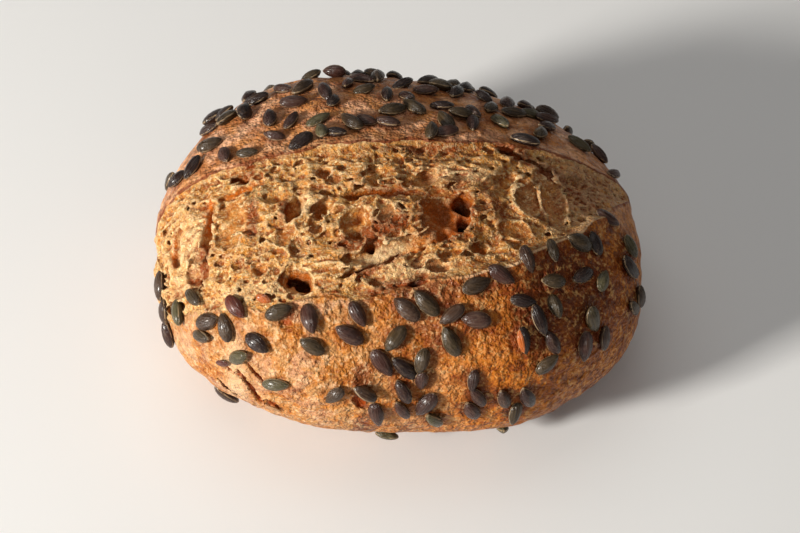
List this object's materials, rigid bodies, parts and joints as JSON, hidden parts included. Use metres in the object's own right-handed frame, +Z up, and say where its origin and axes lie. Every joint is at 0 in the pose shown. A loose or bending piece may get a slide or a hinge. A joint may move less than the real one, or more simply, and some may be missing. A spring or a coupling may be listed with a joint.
{
  "type": "rye bread loaf",
  "caption": "Oval hearth-baked rye loaf with a flat sole, pumpkin seeds on its crust and one wide torn opening of crumb along its top.",
  "frame": {"origin": "middle of the flat sole, under the centre of the loaf's box", "axes": "+Z up, +X along the loaf towards its more pointed end, -Y towards the side that the tear leans to"},
  "size_m": [0.2398, 0.2063, 0.1175],
  "materials": {
    "baked_crust": "matte baked crust with dark seeds"
  },
  "bodies": {
    "root": {"loaf": "baked_crust"}
  },
  "joints": []
}
